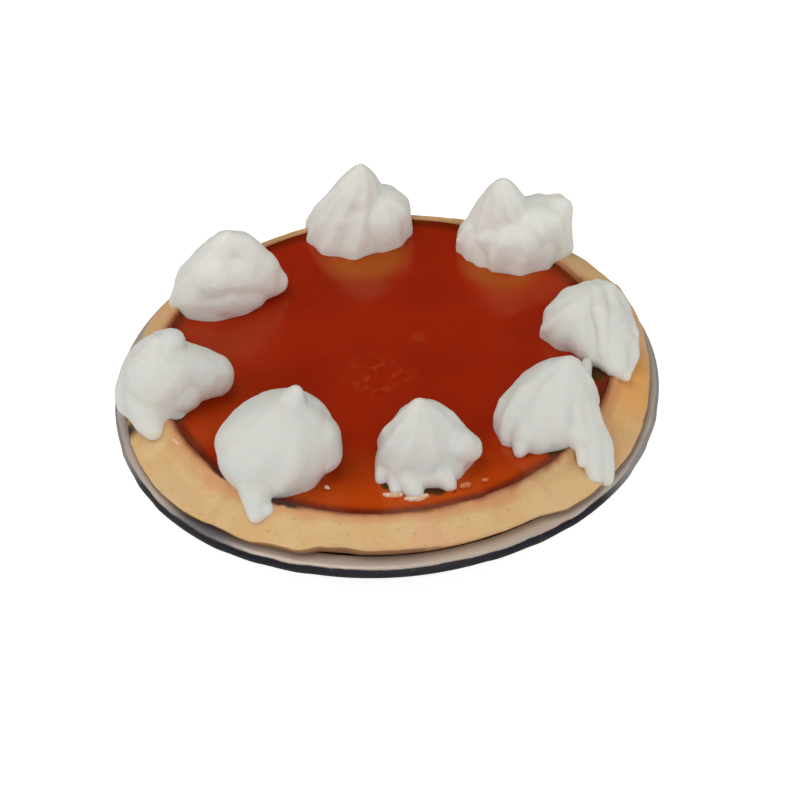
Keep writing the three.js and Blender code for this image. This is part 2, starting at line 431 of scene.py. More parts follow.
def flatter(share):
    """A change that, done three times, leaves that share of the height above the flange."""
    low = (0, 0, (FLANGE_TOP + GAP) * MM)
    size = (1, 1, share ** (1 / 3))
    return lambda soft: bpy.ops.transform.resize(value=size, center_override=low, **soft)


# %% [markdown]
# Baked colour and painted shade follow the edge of a border wherever that edge wanders. So before the
# rim is eased, each point of the pastry and the filling is told which ring it belongs to, and the
# pastry's outer flank is marked. The finishes read these numbers later.

# %% Painted numbers


def paint(obj, name, amount_at):
    """Stores a number for every point of obj, which its finish can read later."""
    values = obj.data.attributes.new(name, "FLOAT", "POINT")
    values.data.foreach_set("value", [amount_at(v.co) for v in obj.data.vertices])


def flank(p):
    """One on the outer flank of the pastry, nothing on its top."""
    share = (EDGE_HEIGHT + 0.4 - p.z / MM) / 1.6
    return min(max(share, 0), 1) if math.hypot(p.x, p.y) > (MOUTH + 1) * MM else 0


paint(pastry, "flank", flank)
for obj in (pastry, filling):
    paint(obj, "ring", lambda p: math.hypot(p.x, p.y) / MM)
print("painted:", [a.name for a in pastry.data.attributes if a.name in ("flank", "ring")])

# %% [markdown]
# Pastry and filling share one lip, so both are eased in the same places and by the same amounts. Each
# place is a heading, an amount and a spread in degrees. The amounts are millimetres outwards, except for
# the drops, which are the share of the border's height that is left.

# %% Uneven rim
LIP_SHIFTS = [(205, -1.6, 10), (274, 0.6, 16), (310, 1.1, 12)]
EDGE_DROPS = [(30, 1.15, 14), (98, 0.62, 48), (215, 0.55, 24), (322, 0.55, 28)]
EDGE_SHIFTS = [
    (31, 1.5, 14), (96, -2.2, 45), (158, -1.4, 20), (219, 2.2, 15),
    (235, -1.6, 7), (245, 3.0, 8), (273, -8.2, 20), (322, 2.8, 14),
]
RIM_SHIFTS = [(222, 1.8, 18), (318, 1.9, 18)]

for heading, amount, spread in LIP_SHIFTS:
    for obj in (pastry, filling):
        ease(obj, heading, spread, LIP_RADIUS - 2, LIP_RADIUS + 1, outwards(amount, LIP_RADIUS))
for heading, share, spread in EDGE_DROPS:
    ease(pastry, heading, spread, LIP_RADIUS + 6, EDGE_RADIUS + 1, flatter(share), reach=5)
for heading, amount, spread in EDGE_SHIFTS:
    ease(pastry, heading, spread, EDGE_RADIUS - 1.5, EDGE_RADIUS + 1, outwards(amount, EDGE_RADIUS))
for heading, amount, spread in RIM_SHIFTS:
    growth = outwards(amount, RIM_RADIUS)
    ease(tin, heading, spread, RIM_RADIUS - 7, RIM_RADIUS + 1, growth, lowest=20, reach=8)
for obj in (tin, pastry, filling):
    reach = max(math.hypot(v.co.x, v.co.y) for v in obj.data.vertices) / MM
    print(f"{obj.name} reaches {reach:.1f} mm")

# %% [markdown]
# Baking leaves nothing quite level. One broad wave lifts and sinks the pastry and the filling together,
# so that they don't part. The pastry also gets lumps and a fine crumb, and the custard's skin gets low
# waves and ripples.

# %% Waves and crumb
UPPER = 30

lip_waves = cloud_relief("lip_waves", 60, 1)
for obj in (pastry, filling):
    mark_group(obj, "upper", lambda p: p.z > UPPER * MM)
    displace(obj, lip_waves, 1.1, "Z", "upper")
displace(pastry, cloud_relief("pastry_lumps", 16, 1), 0.8, group="upper")
displace(pastry, cloud_relief("pastry_crumb", 2.6, 2), 0.30, group="upper")
displace(filling, cloud_relief("skin_waves", 17, 1), 0.5, "Z", "upper")
displace(filling, cloud_relief("skin_ripples", 5, 1), 0.08, "Z", "upper")

for obj, node in ((pastry, "pastry"), (filling, "filling")):
    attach(obj, "root")
    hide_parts(node)
    print(f"{obj.name}: top {max(v.co.z for v in obj.data.vertices) / MM:.1f} mm")

# %% [markdown]
# ## Cream
#
# A dollop is a kiss: cream is pressed out on one spot, and the bag is then drawn away, which pulls the
# middle up into a tip. Each kiss starts as a round of points whose every second point is drawn in, a
# soft star. It is then pulled up ring by ring, each ring narrower, turned and moved a little.

# %% One kiss
RIDGES = 9
RINGS = 9
CROWDING = 1.5
SKIRT = 6


def breadth_at(share, fullness, point, tuck):
    """How broad a kiss is at a share of its height, as a part of its widest."""
    return (1 - share**fullness) ** point * (1 - tuck * (1 - share) ** 3)


def kiss(
    at, length, width, height,
    fullness=1.9, point=0.9, tuck=0, along=0, lean=(0, 0), twist=20, depth=0.09, seed=0,
):
    """One kiss of cream. at is the middle of its foot in millimetres, along and twist are degrees."""
    foot = Vector(at) * MM - Vector((0, 0, SKIRT * MM))
    bpy.ops.mesh.primitive_circle_add(
        vertices=2 * RIDGES, radius=length * MM, location=foot, fill_type="NGON"
    )
    obj = bpy.context.object
    bpy.ops.object.transform_apply(location=True)
    pick(obj, lambda p: False)
    bpy.ops.object.mode_set(mode="OBJECT")
    for i, v in enumerate(obj.data.vertices):
        v.select = i % 2 == 0
    bpy.ops.object.mode_set(mode="EDIT")
    bpy.ops.transform.resize(value=(1 - 2 * depth, 1 - 2 * depth, 1), center_override=foot)
    bpy.ops.mesh.select_all(action="SELECT")
    bpy.ops.transform.vertex_random(offset=depth * length * 0.6 * MM, uniform=1, normal=0, seed=seed)
    bpy.ops.transform.resize(value=(1, width / length, 0), center_override=foot)
    bpy.ops.transform.rotate(value=-math.radians(along), orient_axis="Z", center_override=foot)
    breadth = breadth_at(0, fullness, point, tuck)
    bpy.ops.transform.resize(value=(breadth, breadth, 1), center_override=foot)
    shares = [0] + [1 - (1 - i / RINGS) ** CROWDING for i in range(RINGS)]
    middle = foot.copy()
    for before, share in zip(shares, shares[1:]):
        rise = SKIRT if share == 0 else (share - before) * height
        bend = share**2 - before**2
        step = Vector((lean[0] * bend, lean[1] * bend, rise)) * MM
        bpy.ops.mesh.extrude_region_move(TRANSFORM_OT_translate={"value": step})
        middle += step
        ratio = breadth_at(share, fullness, point, tuck) / breadth
        bpy.ops.transform.resize(value=(ratio, ratio, 1), center_override=middle)
        bpy.ops.transform.rotate(
            value=-math.radians(twist) * (share - before), orient_axis="Z", center_override=middle
        )
        breadth *= ratio
    rise = (1 - shares[-1]) * height
    bpy.ops.mesh.extrude_region_move(TRANSFORM_OT_translate={"value": (0, 0, rise * MM)})
    bpy.ops.mesh.merge(type="CENTER")
    bpy.ops.mesh.select_all(action="SELECT")
    bpy.ops.mesh.normals_make_consistent(inside=False)
    bpy.ops.object.mode_set(mode="OBJECT")
    finish_with(obj, "SUBSURF", levels=2, render_levels=2)
    return obj


# %% [markdown]
# Cream that slumped, ran over the pastry or dripped from the bag is laid on as a string of soft balls
# that get larger or smaller along a line.

# %% A string of balls
SPACING = 0.11


def blend(a, b, share):
    """The point at a share of the way from a to b."""
    return [p + (q - p) * share for p, q in zip(a, b)]


def string(points):
    """Balls along a line of (x, y, z, radius) points in millimetres."""
    balls = []
    for a, b in zip(points, points[1:]):
        far = math.dist(a[:3], b[:3])
        count = max(2, round(far / (SPACING * (a[3] + b[3]))))
        for i in range(count + 1):
            *middle, r = blend(a, b, i / count)
            bpy.ops.mesh.primitive_ico_sphere_add(
                subdivisions=3, radius=r * MM, location=[c * MM for c in middle]
            )
            balls.append(bpy.context.object)
    return balls


# %% [markdown]
# All the parts of one dollop are joined and remeshed, which melts them into one skin of even squares.
# A tip can then be pulled with proportional editing, as with fingers in clay. Smoothing rounds the
# seams, and three reliefs make it uneven: a broad swell, dimples, and a fine froth.

# %% Making a dollop
VOXEL = 0.7
FROTH = 0.12
SEAT_HEIGHT = 42.2
SEAT_SLOPE = 0.5
SEAT_BEND = 0.009
swell_relief = cloud_relief("cream_swell", 13, 1)
dimple_relief = cloud_relief("cream_dimples", 5, 1)
froth_relief = cloud_relief("cream_froth", 1.8, 2)


def seat(x, y):
    """The height of the filling or border under a place, all in millimetres."""
    beyond = max(math.hypot(x, y) - LIP_RADIUS - 3.5, 0)
    return SEAT_HEIGHT - SEAT_SLOPE * beyond - SEAT_BEND * beyond**2


def joined(parts, name):
    """Joins parts into one object at the origin, with their places in its mesh."""
    bpy.ops.object.select_all(action="DESELECT")
    for part in parts:
        part.select_set(True)
    bpy.context.view_layer.objects.active = parts[0]
    if len(parts) > 1:
        bpy.ops.object.join()
    obj = bpy.context.object
    obj.name = name
    bpy.ops.object.transform_apply(location=True, rotation=True, scale=True)
    return obj


def melt(obj, voxel):
    """Remeshes obj into one skin of squares of a size in millimetres."""
    finish_with(obj, "REMESH", mode="VOXEL", voxel_size=voxel * MM)


def pull(obj, at, move, reach):
    """Pulls the point nearest to a place, and its surroundings within reach."""
    spot = Vector(at) * MM
    nearest = min((v.co - spot).length for v in obj.data.vertices)
    pick(obj, lambda p: (p - spot).length < nearest + 0.8 * MM)
    bpy.ops.transform.translate(
        value=Vector(move) * MM, use_proportional_connected=False,
        proportional_size=reach * MM, **SOFT_PULL,
    )
    bpy.ops.object.mode_set(mode="OBJECT")


def dollop(number, heading, distance, kisses, strings=(), pulls=(), smooth=7, swell=1.4, dimples=0.5):
    """One dollop, from parts given relative to the middle of its foot, for a cream node."""
    a = math.radians(heading)
    cx, cy = distance * math.cos(a), distance * math.sin(a)
    parts = []
    for i, k in enumerate(kisses):
        x, y, z = k.pop("at")
        parts.append(kiss(at=(cx + x, cy + y, FILLING_TOP + z), seed=10 * number + i, **k))
    for points in strings:
        parts += string([(cx + x, cy + y, seat(cx + x, cy + y) + z, r) for x, y, z, r in points])
    obj = joined(parts, f"dollop_{number}")
    melt(obj, VOXEL)
    for (x, y, z), move, reach in pulls:
        pull(obj, (cx + x, cy + y, FILLING_TOP + z), move, reach)
    if pulls:
        melt(obj, VOXEL)
    finish_with(obj, "SMOOTH", factor=0.5, iterations=smooth)
    displace(obj, swell_relief, swell)
    displace(obj, dimple_relief, dimples)
    displace(obj, froth_relief, FROTH)
    only(obj)
    bpy.ops.object.shade_smooth()
    node = f"cream_{number}"
    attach(obj, "root")
    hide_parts(node)
    top = max(v.co.z for v in obj.data.vertices) / MM
    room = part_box(node)[1].z / MM
    print(f"{obj.name}: {len(obj.data.polygons)} faces, top {top:.1f} of {room:.1f} mm")
    return obj


# %% [markdown]
# The eight dollops stand in a ring, and no two are alike. Each is given by its number, its heading and
# distance from the middle, its kisses, and the strings of cream that slumped from it. Most of them lean,
# and four have tails that run over the border.

# %% Dollops
dollops = [
    dollop(
        1, 95, 92,
        [
            dict(
                at=(-2.5, -0.4, 0), length=25, width=20.8, height=38.8,
                fullness=1.2, point=0.74, lean=(6, 0.5), twist=50,
            ),
            dict(
                at=(9.6, -0.4, 0), length=16.8, width=17.4, height=22.6,
                fullness=3.6, point=0.55, twist=-20,
            ),
        ],
    ),
    dollop(
        2, 50, 95.5,
        [
            dict(
                at=(-4.4, 0.4, 0), length=21, width=18.4, height=38.2,
                fullness=1.5, point=0.72, lean=(1, 1), twist=-45,
            ),
            dict(
                at=(9.9, -1.5, 0), length=17.4, width=15.5, height=24.4,
                fullness=6, point=0.36, twist=15,
            ),
            dict(at=(2, -3.5, 0), length=21.5, width=18.5, height=22.5, fullness=3, point=0.5),
            dict(at=(-10.8, 1.9, 0), length=17.4, width=13.2, height=19, fullness=2.2, point=0.55),
        ],
        pulls=[((25, 4, 20), (2, 0.6, 3.4), 8)],
    ),
    dollop(
        3, 8, 92,
        [
            dict(
                at=(-2.7, 0.9, 0), length=22.6, width=18.4, height=20,
                fullness=2.5, point=0.56, lean=(3, 1), twist=30,
            ),
            dict(
                at=(4.5, 4.6, 0), length=12.6, width=11.6, height=20.5,
                fullness=3, point=0.5, twist=-20,
            ),
        ],
        strings=[
            [(5.5, -6, 5, 12), (8.5, -16, 3, 9.5), (8, -24, 1.5, 7.5), (9, -29, 0.5, 5.5)],
            [(-3.5, -8, 4, 10), (-1.5, -15, 3, 8), (2, -20.5, 1.5, 6.6)],
            [
                (10.5, 2, 6, 7.6), (14.5, -10, 5, 5.5), (15.5, -22, 3, 4.2),
                (13.5, -30, 1, 2.6), (12.5, -33, 0.3, 2.2),
            ],
            [
                (8.5, 5, 15.5, 4), (10, -4, 13, 3.6), (11, -14, 10, 3),
                (11, -24, 6, 2.6), (10.5, -30, 3, 2),
            ],
            [(11.5, 6, 11.5, 4), (14.6, -2, 10.5, 3), (17.2, -12, 8, 2.6), (17.6, -22, 4.5, 2)],
            [(3, 2, 17.5, 4), (3.5, -8, 16, 3.8), (4.2, -17, 11.5, 3.2), (3.5, -25, 6, 2.6)],
        ],
    ),
    dollop(
        4, 326, 83,
        [
            dict(
                at=(-1.8, 0.2, 0), length=26, width=22.6, height=30.2,
                fullness=1.85, point=0.7, along=30, lean=(12, 4), twist=-35,
            ),
        ],
        strings=[
            [(7.5, 3.5, 19.5, 8.5), (9.5, 0, 12, 9.5), (11, -8, 6, 8.5), (12.5, -15, 3, 7.5)],
            [
                (9.5, 2.5, 23, 5), (11.6, -2, 16, 5), (14.5, -9, 9.5, 5),
                (17, -17, 4.5, 5.2), (17, -24, -0.4, 4.6), (17, -28, -2.8, 3.6),
            ],
            [
                (14.2, 2, 13, 5), (17.2, -8, 8, 4.8), (21, -17, 2.6, 5),
                (21.5, -23.5, -1.6, 4.4), (21.5, -27, -3, 3.4),
            ],
            [(10, -6, 16, 4.4), (12, -14, 8.5, 4), (12, -20, 2.5, 3.4), (12, -25, -0.6, 2.4)],
            [(-9, -12, 4, 8), (-12, -16, 2, 5), (-14, -20.5, 0.2, 2.6)],
            [(-2, -15, 2.5, 5), (-4, -19, 0.6, 2.4)],
            [(5, -14, 2.5, 4.5), (2, -17.5, 0.6, 2.2)],
            [(18.5, 34, 0.8, 2.8), (17.6, 24, 2.5, 2.4), (15.5, 13, 8, 3)],
        ],
    ),
    dollop(
        5, 283, 69,
        [
            dict(
                at=(-1.4, 0, 0), length=24, width=19, height=35.4,
                fullness=1.95, point=0.84, tuck=0.05, lean=(-0.8, 0), twist=40,
            ),
        ],
        strings=[
            [(2.5, 1, 21, 5), (7.5, -2, 14.5, 6.2), (12.2, -2.6, 9.5, 8.6), (16.4, -2, 6.4, 7)],
            [(-13, -7, 2, 6), (-9, -11, 1.5, 5.6), (-3, -13, 0.8, 4.6), (4, -13, 0.8, 4.5)],
            [(-15.5, -2, 4, 6.4), (-18.6, -7, 1.2, 4), (-20.2, -10, -0.4, 2.4)],
            [(-13, -9, 1.5, 5.6), (-14, -14.5, -0.6, 3.4), (-14.4, -17, -1.2, 2.4)],
            [(-11, -9, 2, 6.4), (-8, -14, 0.8, 5.6), (-6.6, -17.6, -0.6, 4.6), (-6, -19.6, -1.4, 3.6)],
            [(4.5, -10, 2, 6.4), (7, -14, 0.4, 4.6), (8.4, -17, -0.8, 3)],
        ],
    ),
    dollop(
        6, 234, 79,
        [
            dict(
                at=(-2.2, -0.2, 0), length=31.8, width=28.2, height=36.5,
                fullness=2.3, point=0.56, tuck=0.25, lean=(4, 0.5), twist=45, depth=0.05,
            ),
        ],
        strings=[
            [
                (-9.5, -11, 6, 11), (-10.8, -17, 1.5, 7.8),
                (-11.6, -22, -1.4, 5.2), (-11.6, -25.4, -2.4, 4.2),
            ],
            [(-8.5, -20, -1.4, 4.2), (-6.5, -24.4, -3, 3.6)],
            [(6.6, 3, 31.6, 6.4), (8.8, 3, 37.2, 3.4)],
            [(14.8, -1.5, 14, 11.8), (16.4, -3, 9, 10.4)],
        ],
        swell=0.9, dimples=0.35, smooth=14,
    ),
    dollop(
        7, 189, 99,
        [
            dict(
                at=(-1.6, 0, 0), length=18.7, width=18, height=34.5,
                fullness=2.2, point=0.62, lean=(3, 2), twist=-30,
            ),
        ],
        strings=[
            [(3.6, 3, 24.6, 8.8), (7, 4, 27.8, 6.3)],
            [(1, 0, 14, 16.5), (9, 2, 13, 13.8), (17.5, 3, 9.8, 12), (23, 4, 7.6, 9.8)],
            [(-4, -7, 3, 10.4), (-4.2, -12, 0.5, 7.8), (-3.4, -16, -1, 5.4)],
            [(2, -4, 5, 11), (9, -3, 8, 11.6)],
        ],
    ),
    dollop(
        8, 142.5, 90.5,
        [
            dict(
                at=(-0.2, -0.5, 0), length=24.4, width=21, height=35,
                fullness=1.5, point=0.8, lean=(8, 0.5), twist=35,
            ),
        ],
        strings=[
            [(6, 0, 26, 6.8), (11.4, 0, 24, 7.4), (15, -1, 18.5, 8.6), (18, -1.5, 11, 10.4)],
            [
                (1.6, -2.2, 11, 15.4), (11, -2, 11, 13.6), (18, -1.5, 8, 11),
                (22.5, -1.2, 5.6, 8), (26.4, -1, 3.8, 5.4),
            ],
            [(-6, -5.4, 3, 12.2), (3, -6.6, 4, 13), (12, -5, 5, 11)],
        ],
    ),
]

# %% [markdown]
# A piping bag also leaves little marks: a smear where it was lifted, a drop that fell. They lie on the
# custard and on the pastry, and are one piece. Some of them also stand for glints on the glossy
# custard, as painted highlights.

# %% Smears and drops
SMEAR_VOXEL = 0.3
# Cream marks: partly smears and drops, partly painted highlights on the custard.
SMEAR_AND_GLINT_LINES = [
    [(14, -88.6, -1.4, 1.2), (11, -90.4, -1.4, 1.5), (7.5, -90.2, -1.5, 1.4), (5.5, -89.4, -1.6, 1.1)],
    [(3, -87, -1.5, 1.2), (0, -87.2, -1.4, 1.5), (-3.5, -86.4, -1.6, 1.2)],
    [(25, -86.5, -0.2, 1.0), (26.5, -86, -0.4, 0.6)],
    [(-28, -80, -0.2, 0.9), (-26.8, -81, -0.4, 0.6)],
    [(29.5, -84.8, -0.7, 1.3), (32, -84.2, -0.8, 1.2)],
    [(38.6, -82.4, -0.4, 1.0), (40, -82, -0.6, 0.8)],
    [(-92, -43, -0.5, 1.1), (-90.5, -45, -0.7, 0.8)],
]
marks = []
for line in SMEAR_AND_GLINT_LINES:
    marks += string([(x, y, seat(x, y) + z, r) for x, y, z, r in line])
smears_and_glints = joined(marks, "cream_marks_and_glints")
melt(smears_and_glints, SMEAR_VOXEL)
finish_with(smears_and_glints, "SMOOTH", factor=0.5, iterations=4)
displace(smears_and_glints, cloud_relief("smear_edges", 1.2, 1), 0.6)
only(smears_and_glints)
bpy.ops.object.shade_smooth()
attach(smears_and_glints, "root")
print("smears:", len(smears_and_glints.data.polygons), "faces")

# %% [markdown]
# ## Finishes
#
# No surface here is one flat colour. Each finish starts from the place of a point on its piece, which
# is what Object coordinates give, and turns it into soft patches, grain and bands with noise. What
# several finishes use is a node group, built once and given its own numbers in each material.

# %% Node helpers
FLOAT = "NodeSocketFloat"
VECTOR = "NodeSocketVector"


def add(tree, kind, values=None, **settings):
    """Adds a node, sets it, and links or sets its inputs."""
    node = tree.nodes.new(kind)
    for key, value in settings.items():
        setattr(node, key, value)
    for name, value in (values or {}).items():
        if isinstance(value, bpy.types.NodeSocket):
            tree.links.new(value, node.inputs[name])
        else:
            node.inputs[name].default_value = value
    return node


def math_node(tree, operation, a, b=0.0):
    """The result of one sum on two values."""
    return add(tree, "ShaderNodeMath", {0: a, 1: b}, operation=operation).outputs[0]


def plus(tree, a, b):
    """The sum of two values."""
    return math_node(tree, "ADD", a, b)


def times(tree, a, b):
    """The product of two values."""
    return math_node(tree, "MULTIPLY", a, b)


def larger(tree, a, b):
    """The larger of two values."""
    return math_node(tree, "MAXIMUM", a, b)


def ramp(tree, value, low, high, to_low=0.0, to_high=1.0):
    """A smooth step of a value, from low to high."""
    node = add(
        tree, "ShaderNodeMapRange",
        {"Value": value, "From Min": low, "From Max": high, "To Min": to_low, "To Max": to_high},
        interpolation_type="SMOOTHSTEP",
    )
    return node.outputs["Result"]


def mix(tree, mask, a, b):
    """Colour a where the mask is 0, and colour b where it is 1."""
    node = add(tree, "ShaderNodeMix", data_type="RGBA")
    for name, kind, value in (("Factor", "VALUE", mask), ("A", "RGBA", a), ("B", "RGBA", b)):
        socket = next(s for s in node.inputs if s.name == name and s.type == kind)
        if isinstance(value, bpy.types.NodeSocket):
            tree.links.new(value, socket)
        else:
            socket.default_value = value if kind == "VALUE" else (*value, 1)
    return next(s for s in node.outputs if s.type == "RGBA")


# %% [markdown]
# "patches" are soft blotches of a given size in millimetres, and "grain" is fine relief made of crumbs
# and pits. "where" tells how far a point is from the middle of the pie, how high it is and how far
# back, in millimetres.

# %% Shared groups


def new_group(name, inputs, outputs):
    """An empty node group with named sockets, and its two end nodes."""
    tree = bpy.data.node_groups.new(name, "ShaderNodeTree")
    for label, kind, value in inputs:
        socket = tree.interface.new_socket(label, in_out="INPUT", socket_type=kind)
        if value is not None:
            socket.default_value = value
    for label, kind in outputs:
        tree.interface.new_socket(label, in_out="OUTPUT", socket_type=kind)
    return tree, tree.nodes.new("NodeGroupInput").outputs, tree.nodes.new("NodeGroupOutput").inputs


patches, given, result = new_group(
    "patches",
    [("Place", VECTOR, None), ("Size", FLOAT, 10.0), ("Low", FLOAT, 0.4), ("High", FLOAT, 0.6)],
    [("Mask", FLOAT)],
)
scale = math_node(patches, "DIVIDE", 1 / MM, given["Size"])
noise = add(patches, "ShaderNodeTexNoise", {"Vector": given["Place"], "Scale": scale, "Detail": 3.0})
mask = ramp(patches, noise.outputs["Fac"], given["Low"], given["High"])
patches.links.new(mask, result["Mask"])

grain, given, result = new_group(
    "grain",
    [("Place", VECTOR, None), ("Size", FLOAT, 1.0), ("Pits", FLOAT, 0.3)],
    [("Height", FLOAT)],
)
scale = math_node(grain, "DIVIDE", 1 / MM, given["Size"])
noise = add(grain, "ShaderNodeTexNoise", {"Vector": given["Place"], "Scale": scale, "Detail": 4.0})
cells = add(grain, "ShaderNodeTexVoronoi", {"Vector": given["Place"], "Scale": scale})
pits = ramp(grain, cells.outputs["Distance"], 0.08, 0.35, 1.0, 0.0)
sunk = times(grain, pits, given["Pits"])
grain.links.new(math_node(grain, "SUBTRACT", noise.outputs["Fac"], sunk), result["Height"])

where, given, result = new_group(
    "where", [("Place", VECTOR, None)], [("Radius", FLOAT), ("Height", FLOAT), ("Back", FLOAT)]
)
flat = add(
    where, "ShaderNodeVectorMath", {0: given["Place"], 1: (1 / MM, 1 / MM, 0)}, operation="MULTIPLY"
)
length = add(where, "ShaderNodeVectorMath", {0: flat.outputs["Vector"]}, operation="LENGTH")
axes = add(where, "ShaderNodeSeparateXYZ", {"Vector": given["Place"]})
where.links.new(length.outputs["Value"], result["Radius"])
where.links.new(times(where, axes.outputs["Z"], 1 / MM), result["Height"])
where.links.new(times(where, axes.outputs["Y"], 1 / MM), result["Back"])
print("groups:", [g.name for g in bpy.data.node_groups])

# %% [markdown]
# Every finish begins alike, with a material and the place of each point. The helpers below put one of
# the groups into it, read a painted number, or fade something in around a spot. A spot is written as
# the millimetre values of its place, and then its reach.

# %% Starting a finish


def use(tree, group, **values):
    """Puts a node group into a material, and gives back its outputs."""
    return add(tree, "ShaderNodeGroup", values, node_tree=group).outputs


def start_finish(name, roughness):
    """A material, its tree, its shader and the place of each point of the piece."""
    material = plain_material(name, (0.8, 0.8, 0.8), roughness)
    tree = material.node_tree
    place = add(tree, "ShaderNodeTexCoord").outputs["Object"]
    return material, tree, tree.nodes["Principled BSDF"], place


def blotches(tree, place, size, low, high):
    """The mask of soft patches, size in millimetres. A higher low leaves fewer of them."""
    return use(tree, patches, Place=place, Size=size, Low=low, High=high)["Mask"]


def grained(tree, place, size, pits):
    """The height of a fine grain, size in millimetres."""
    return use(tree, grain, Place=place, Size=size, Pits=pits)["Height"]


def painted(tree, name):
    """A number that was stored for every point of the piece."""
    return add(tree, "ShaderNodeAttribute", attribute_name=name).outputs["Fac"]


def spot_mask(tree, place, x, y, z, reach):
    """One at a place in millimetres, fading to nothing at the end of its reach."""
    middle = (x * MM, y * MM, z * MM)
    far = add(tree, "ShaderNodeVectorMath", {0: place, 1: middle}, operation="DISTANCE")
    return ramp(tree, far.outputs["Value"], reach * MM, 0.2 * reach * MM)


def spot_set(tree, place, strength, spots):
    """Several spots in one mask."""
    mask = 0.0
    for spot in spots:
        mask = larger(tree, mask, spot_mask(tree, place, *spot))
    return times(tree, mask, strength)


def relief(tree, shader, height, depth):
    """Feeds a height into the shader's normal, depth in millimetres."""
    bump = add(tree, "ShaderNodeBump", {"Height": height, "Distance": depth * MM, "Strength": 1.0})
    tree.links.new(bump.outputs["Normal"], shader.inputs["Normal"])


# %% [markdown]
# ** Pastry** is dry and matt. It bakes yellow-tan with pinker patches, darker at the thin inner lip
# where custard boiled against it, less so at the back, and brown on its outer side and underside. That
# brown is partly baked colour and partly painted shade under the overhanging edge. Painted shadow also
# darkens the lip beside dollop 6 and the edge under dollop 7.

# %% Pastry finish
PASTRY_TAN = (0.745, 0.475, 0.215)
PASTRY_YELLOW = (0.755, 0.53, 0.265)
PASTRY_PINK = (0.78, 0.46, 0.245)
PASTRY_BLUSH = (0.66, 0.31, 0.135)
PASTRY_AMBER = (0.82, 0.42, 0.13)
PASTRY_LIP = (0.25, 0.06, 0.018)
# Brown of the outer flank and underside: partly baked colour, partly painted shade.
PASTRY_BROWN_AND_SHADE = (0.34, 0.17, 0.075)
PASTRY_CONTACT_SHADOW = (0.055, 0.018, 0.007)
PASTRY_DEEP_SHADOW = (0.03, 0.012, 0.006)
AMBER_SIDE = (109, -20, 38, 34)
YELLOW_CORNER = (72, -82, 40, 32)
# A spot where the painted shade on the pastry's flank is weaker.
SHADED_FLANK = (42, -104, 31, 58)
# Painted shadow on the border's edge under the overhang of dollop 7.
SHADOW_UNDER_DOLLOP_7 = [(-115.5, -15, 31, 8), (-112.5, -24, 31, 8)]
# The rings, in millimetres, between which the crust turns to blush and then to its dark lip.
BLUSH_RINGS = (106.8, 101.3)
LIP_RINGS = (102.7, 99.6)
# Painted contact shadow on the lip beside dollop 6: a spot, and the ring that the shadow reaches.
SHADOW_BESIDE_DOLLOP_6 = [((-47, -88, 42, 12), 103.2), ((-72, -68, 42, 12), 102.2)]

pastry_finish, tree, shader, place = start_finish("baked_shortcrust", 0.8)
color = mix(tree, blotches(tree, place, 22, 0.42, 0.62), PASTRY_TAN, PASTRY_YELLOW)
color = mix(tree, blotches(tree, place, 31, 0.5, 0.66), color, PASTRY_PINK)
color = mix(tree, times(tree, blotches(tree, place, 1.6, 0.6, 0.75), 0.35), color, PASTRY_LIP)
color = mix(tree, spot_mask(tree, place, *AMBER_SIDE), color, PASTRY_AMBER)

uneven = blotches(tree, place, 9, 0.2, 0.8)
lip_line = plus(tree, painted(tree, "ring"), times(tree, uneven, 1.4))
back = use(tree, where, Place=place)["Back"]
baked = ramp(tree, back, 35, 75, 1.0, 0.3)
color = mix(tree, times(tree, ramp(tree, lip_line, *BLUSH_RINGS), baked), color, PASTRY_BLUSH)
color = mix(tree, spot_set(tree, place, 0.75, [YELLOW_CORNER]), color, PASTRY_YELLOW)
color = mix(tree, times(tree, ramp(tree, lip_line, *LIP_RINGS), baked), color, PASTRY_LIP)

paler = math_node(tree, "SUBTRACT", 1.0, spot_set(tree, place, 0.8, [SHADED_FLANK]))
side = plus(tree, times(tree, painted(tree, "flank"), paler), times(tree, uneven, 0.25))
# Painted shade, with some baked brown, on the outer flank under the overhanging edge.
color = mix(tree, ramp(tree, side, 0.3, 0.75), color, PASTRY_BROWN_AND_SHADE)
# Painted shadow on the pastry's edge under dollop 7.
color = mix(tree, spot_set(tree, place, 1.0, SHADOW_UNDER_DOLLOP_7), color, PASTRY_DEEP_SHADOW)
# Painted shadow along the lip where dollop 6 sits on the border.
for spot, outer in SHADOW_BESIDE_DOLLOP_6:
    band = ramp(tree, lip_line, outer, outer - 1.8)
    color = mix(tree, times(tree, band, spot_set(tree, place, 1.7, [spot])), color, PASTRY_CONTACT_SHADOW)
tree.links.new(color, shader.inputs["Base Color"])

crumb = grained(tree, place, 1.3, 0.5)
tree.links.new(ramp(tree, crumb, 0.2, 0.7, 0.9, 0.7), shader.inputs["Roughness"])
relief(tree, shader, crumb, 0.25)
print(pastry_finish.name, "has", len(tree.nodes), "nodes")

# %% [markdown]
# ** Custard** is dark, red-brown and glossy under its skin, a little paler at the front. Its skin is torn
# near the middle. At the feet of the two back dollops it has a golden painted reflection of the cream.
# It is darkest in a thin line along the pastry, partly caramel and partly painted shade under the lip,
# and in small spots of painted shadow under and between the dollops.

